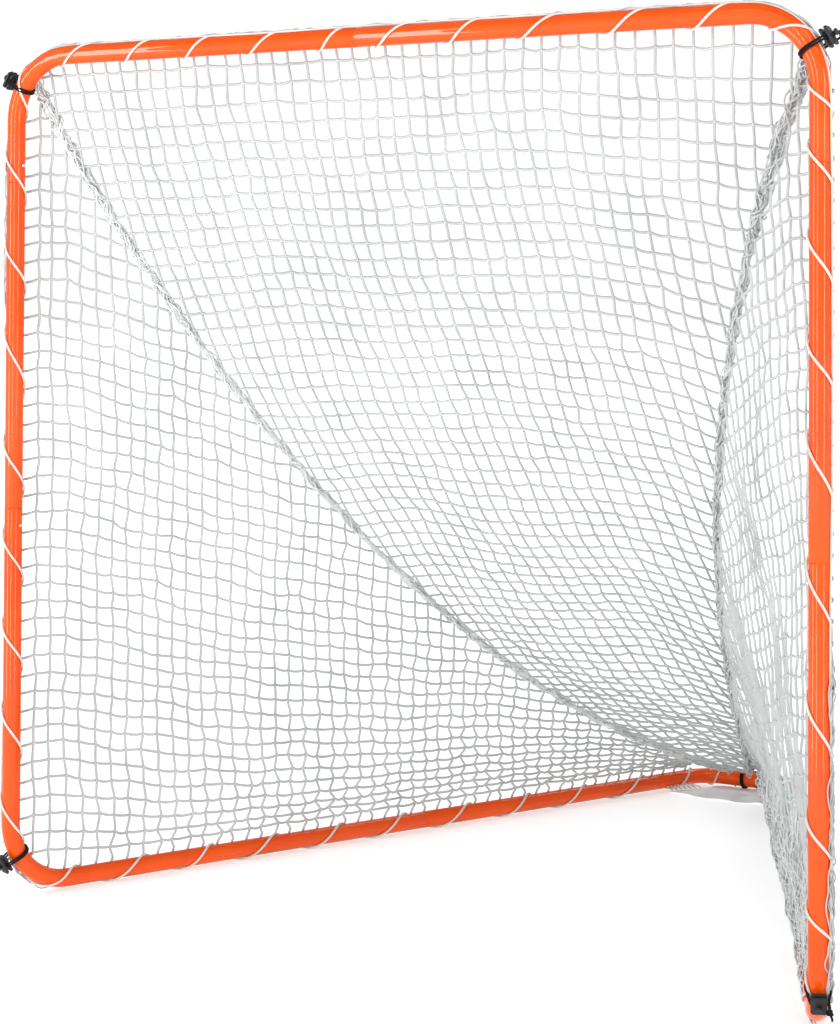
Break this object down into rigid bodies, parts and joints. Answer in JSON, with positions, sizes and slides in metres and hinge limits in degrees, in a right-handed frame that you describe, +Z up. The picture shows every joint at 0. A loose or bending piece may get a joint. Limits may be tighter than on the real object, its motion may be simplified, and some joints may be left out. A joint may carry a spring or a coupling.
{
  "type": "lacrosse goal",
  "caption": "Take-apart lacrosse goal: a steel tube frame of snap-together lengths, a laced three-panel net and cord locks on elastic loops.",
  "frame": {"origin": "on the ground, under the middle of the goal", "axes": "+X along the crossbar to the right as seen from in front of the mouth, +Y from the mouth to the rear, +Z up"},
  "size_m": [1.9416, 2.0396, 1.8838],
  "materials": {
    "orange_steel": "glossy orange powder coat on steel tube",
    "bright_steel": "bright zinc-plated steel",
    "black_plastic": "black moulded plastic, slightly worn",
    "black_steel": "black spring wire",
    "black_elastic": "black braided shock cord",
    "white_cord": "white braided lacing cord",
    "white_net": "white knotted net of twisted twine",
    "white_cloth": "white woven cloth"
  },
  "bodies": {
    "frame_and_net": {"left_base_tube": "orange_steel", "bottom_left_corner_tube": "orange_steel", "left_post_tube": "orange_steel", "top_left_corner_tube": "orange_steel", "top_right_corner_tube": "orange_steel", "right_post_tube": "orange_steel", "bottom_right_corner_tube": "orange_steel", "right_base_tube": "orange_steel", "rear_base_tube": "orange_steel", "rear_left_button_spring": "bright_steel", "front_left_button_spring": "bright_steel", "low_left_button_spring": "bright_steel", "high_left_button_spring": "bright_steel", "crossbar_button_spring": "bright_steel", "high_right_button_spring": "bright_steel", "low_right_button_spring": "bright_steel", "front_right_button_spring": "bright_steel", "rear_right_button_spring": "bright_steel", "top_left_cord_lock_body": "black_plastic", "top_right_cord_lock_body": "black_plastic", "bottom_left_cord_lock_body": "black_plastic", "bottom_right_cord_lock_body": "black_plastic", "rear_cord_lock_body": "black_plastic", "top_left_cord_lock_spring": "black_steel", "top_right_cord_lock_spring": "black_steel", "bottom_left_cord_lock_spring": "black_steel", "bottom_right_cord_lock_spring": "black_steel", "rear_cord_lock_spring": "black_steel", "top_left_elastic_loop": "black_elastic", "top_right_elastic_loop": "black_elastic", "bottom_left_elastic_loop": "black_elastic", "bottom_right_elastic_loop": "black_elastic", "rear_elastic_loop": "black_elastic", "left_post_lacing": "white_cord", "right_post_lacing": "white_cord", "crossbar_lacing": "white_cord", "left_base_lacing": "white_cord", "right_base_lacing": "white_cord", "roof_net": "white_net", "left_side_net": "white_net", "right_side_net": "white_net", "ground_skirt": "white_cloth"},
    "rear_left_button": {"rear_left_snap_button": "bright_steel"},
    "front_left_button": {"front_left_snap_button": "bright_steel"},
    "low_left_button": {"low_left_snap_button": "bright_steel"},
    "high_left_button": {"high_left_snap_button": "bright_steel"},
    "crossbar_button": {"crossbar_snap_button": "bright_steel"},
    "high_right_button": {"high_right_snap_button": "bright_steel"},
    "low_right_button": {"low_right_snap_button": "bright_steel"},
    "front_right_button": {"front_right_snap_button": "bright_steel"},
    "rear_right_button": {"rear_right_snap_button": "bright_steel"},
    "top_left_plunger": {"top_left_cord_lock_plunger": "black_plastic"},
    "top_right_plunger": {"top_right_cord_lock_plunger": "black_plastic"},
    "bottom_left_plunger": {"bottom_left_cord_lock_plunger": "black_plastic"},
    "bottom_right_plunger": {"bottom_right_cord_lock_plunger": "black_plastic"},
    "rear_plunger": {"rear_cord_lock_plunger": "black_plastic"}
  },
  "joints": [
    {"name": "rear_left_button_press", "type": "slide", "parent": "frame_and_net", "child": "rear_left_button", "axis": [0.9223, -0.3865, 0], "range_m": [0, 0.0052], "stiffness_N_per_m": 3000, "springref_m": -0.002, "deforming": ["rear_left_button_spring"]},
    {"name": "front_left_button_press", "type": "slide", "parent": "frame_and_net", "child": "front_left_button", "axis": [0.9223, -0.3865, 0], "range_m": [0, 0.0052], "stiffness_N_per_m": 3000, "springref_m": -0.002, "deforming": ["front_left_button_spring"]},
    {"name": "low_left_button_press", "type": "slide", "parent": "frame_and_net", "child": "low_left_button", "axis": [-1, 0, 0], "range_m": [0, 0.0052], "stiffness_N_per_m": 3000, "springref_m": -0.002, "deforming": ["low_left_button_spring"]},
    {"name": "high_left_button_press", "type": "slide", "parent": "frame_and_net", "child": "high_left_button", "axis": [-1, 0, 0], "range_m": [0, 0.0052], "stiffness_N_per_m": 3000, "springref_m": -0.002, "deforming": ["high_left_button_spring"]},
    {"name": "crossbar_button_press", "type": "slide", "parent": "frame_and_net", "child": "crossbar_button", "axis": [0, 0, 1], "range_m": [0, 0.0052], "stiffness_N_per_m": 3000, "springref_m": -0.002, "deforming": ["crossbar_button_spring"]},
    {"name": "high_right_button_press", "type": "slide", "parent": "frame_and_net", "child": "high_right_button", "axis": [1, 0, 0], "range_m": [0, 0.0052], "stiffness_N_per_m": 3000, "springref_m": -0.002, "deforming": ["high_right_button_spring"]},
    {"name": "low_right_button_press", "type": "slide", "parent": "frame_and_net", "child": "low_right_button", "axis": [1, 0, 0], "range_m": [0, 0.0052], "stiffness_N_per_m": 3000, "springref_m": -0.002, "deforming": ["low_right_button_spring"]},
    {"name": "front_right_button_press", "type": "slide", "parent": "frame_and_net", "child": "front_right_button", "axis": [-0.9223, -0.3865, 0], "range_m": [0, 0.0052], "stiffness_N_per_m": 3000, "springref_m": -0.002, "deforming": ["front_right_button_spring"]},
    {"name": "rear_right_button_press", "type": "slide", "parent": "frame_and_net", "child": "rear_right_button", "axis": [-0.9223, -0.3865, 0], "range_m": [0, 0.0052], "stiffness_N_per_m": 3000, "springref_m": -0.002, "deforming": ["rear_right_button_spring"]},
    {"name": "top_left_plunger_press", "type": "slide", "parent": "frame_and_net", "child": "top_left_plunger", "axis": [0.866, 0, -0.5], "range_m": [0, 0.004], "stiffness_N_per_m": 1500, "springref_m": -0.003, "deforming": ["top_left_cord_lock_spring"]},
    {"name": "top_right_plunger_press", "type": "slide", "parent": "frame_and_net", "child": "top_right_plunger", "axis": [-0.866, 0, -0.5], "range_m": [0, 0.004], "stiffness_N_per_m": 1500, "springref_m": -0.003, "deforming": ["top_right_cord_lock_spring"]},
    {"name": "bottom_left_plunger_press", "type": "slide", "parent": "frame_and_net", "child": "bottom_left_plunger", "axis": [0.3347, 0.7987, 0.5], "range_m": [0, 0.004], "stiffness_N_per_m": 1500, "springref_m": -0.003, "deforming": ["bottom_left_cord_lock_spring"]},
    {"name": "bottom_right_plunger_press", "type": "slide", "parent": "frame_and_net", "child": "bottom_right_plunger", "axis": [-0.3347, 0.7987, 0.5], "range_m": [0, 0.004], "stiffness_N_per_m": 1500, "springref_m": -0.003, "deforming": ["bottom_right_cord_lock_spring"]},
    {"name": "rear_plunger_press", "type": "slide", "parent": "frame_and_net", "child": "rear_plunger", "axis": [0, -1, 0], "range_m": [0, 0.004], "stiffness_N_per_m": 1500, "springref_m": -0.003, "deforming": ["rear_cord_lock_spring"]}
  ]
}
